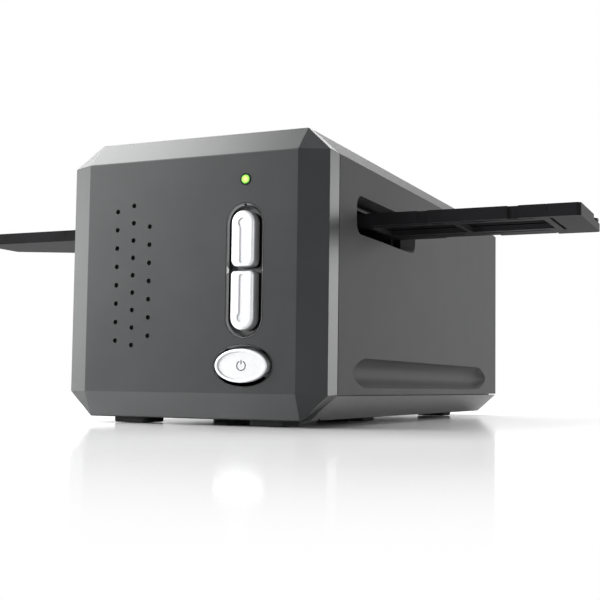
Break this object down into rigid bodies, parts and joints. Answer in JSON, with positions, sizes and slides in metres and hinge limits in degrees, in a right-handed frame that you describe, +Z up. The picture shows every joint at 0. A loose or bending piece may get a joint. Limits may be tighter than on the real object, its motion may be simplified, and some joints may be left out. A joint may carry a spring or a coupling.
{
  "type": "film scanner",
  "caption": "Desktop scanner for 35 mm film: eight-sided casing with a faceted front, a slot through both sides, a sliding film holder, press buttons and a scanning carriage inside",
  "frame": {"origin": "centre of the footprint at floor level", "axes": "+X is the way the film holder slides to the right, +Y is to the rear, +Z is up"},
  "size_m": [0.296, 0.2742, 0.119],
  "materials": {
    "bezel_plastic": "fine textured dark grey",
    "casing_plastic": "fine textured dark grey",
    "tray_plastic": "fine textured dark grey",
    "black_plastic": "satin black",
    "silver_plastic": "silver lacquered",
    "light_lens": "green clear lens",
    "foot_rubber": "soft black",
    "board_green": "green solder mask",
    "light_board": "white solder mask",
    "component_black": "moulded black",
    "white_acrylic": "milky",
    "steel": "ground and bright",
    "screw_steel": "zinc plated",
    "bearing_brass": "sintered",
    "lever_plastic": "natural acetal",
    "chassis_metal": "die cast",
    "mirror_glass": "front silvered",
    "optical_glass": "coated"
  },
  "bodies": {
    "casing": {"base_tray": "tray_plastic", "board_parts": "component_black", "board_screws": "screw_steel", "button_board": "board_green", "button_board_screws": "screw_steel", "case_screws": "screw_steel", "chassis": "chassis_metal", "chassis_screws": "screw_steel", "detent_pin": "steel", "detent_spring": "steel", "diffuser": "white_acrylic", "film_guide": "black_plastic", "film_guide_cover": "black_plastic", "front_bezel": "bezel_plastic", "guide_rod_left": "steel", "guide_rod_right": "steel", "guide_screws": "screw_steel", "lamp_housing": "black_plastic", "light_board": "light_board", "main_board": "board_green", "power_button_pocket": "black_plastic", "power_jack": "component_black", "push_switches": "component_black", "rear_panel": "tray_plastic", "rubber_foot_1": "foot_rubber", "rubber_foot_2": "foot_rubber", "rubber_foot_3": "foot_rubber", "rubber_foot_4": "foot_rubber", "rubber_foot_5": "foot_rubber", "rubber_foot_6": "foot_rubber", "scan_button_pocket": "black_plastic", "screw_bearing": "bearing_brass", "slot_frame_left": "black_plastic", "slot_frame_right": "black_plastic", "status_light": "light_lens", "stepper_motor": "steel", "upper_housing": "casing_plastic", "usb_port": "steel"},
    "film_holder": {"holder_base": "black_plastic", "holder_lid": "black_plastic", "holder_hinge_pin": "steel", "latch_pin": "steel"},
    "holder_latch": {"holder_latch": "black_plastic"},
    "scan_button_upper": {"scan_button_upper": "silver_plastic"},
    "scan_button_lower": {"scan_button_lower": "silver_plastic"},
    "power_button": {"power_button": "silver_plastic"},
    "optical_carriage": {"carriage": "black_plastic", "mirror": "mirror_glass", "lens_barrel": "black_plastic", "lens_glass": "optical_glass", "lens_clamp": "steel", "sensor_board": "board_green", "image_sensor": "component_black", "lead_nut": "component_black"},
    "lead_screw": {"lead_screw": "steel"},
    "detent_lever": {"detent_lever": "lever_plastic"}
  },
  "joints": [
    {"name": "holder_slide", "type": "slide", "parent": "casing", "child": "film_holder", "axis": [1, 0, 0], "range_m": [-0.18, 0.18]},
    {"name": "latch_turn", "type": "hinge", "parent": "film_holder", "child": "holder_latch", "pos_m": [0.1425, -0.044, 0.0891], "axis": [0, 0, 1], "range_deg": [0, 30]},
    {"name": "scan_press_upper", "type": "slide", "parent": "casing", "child": "scan_button_upper", "axis": [0, 1, 0], "range_m": [0, 0.0008], "stiffness_N_per_m": 900, "springref_m": -0.0004},
    {"name": "scan_press_lower", "type": "slide", "parent": "casing", "child": "scan_button_lower", "axis": [0, 1, 0], "range_m": [0, 0.0008], "stiffness_N_per_m": 900, "springref_m": -0.0004},
    {"name": "power_press", "type": "slide", "parent": "casing", "child": "power_button", "axis": [0, 1, 0], "range_m": [0, 0.0008], "stiffness_N_per_m": 900, "springref_m": -0.0004},
    {"name": "carriage_slide", "type": "slide", "parent": "casing", "child": "optical_carriage", "axis": [0, 1, 0], "range_m": [-0.013, 0.013]},
    {"name": "screw_turn", "type": "hinge", "parent": "casing", "child": "lead_screw", "pos_m": [0.038, 0, 0.06], "axis": [0, 1, 0], "range_deg": [-1170, 1170]},
    {"name": "lever_swing", "type": "hinge", "parent": "casing", "child": "detent_lever", "pos_m": [-0.015, -0.092, 0.0872], "axis": [0, 0, 1], "range_deg": [0, 2], "stiffness_Nm_per_rad": 0.02}
  ],
  "couplings": [
    {"joint": "screw_turn", "follows": "carriage_slide", "rad_per_m": 1570.8}
  ]
}
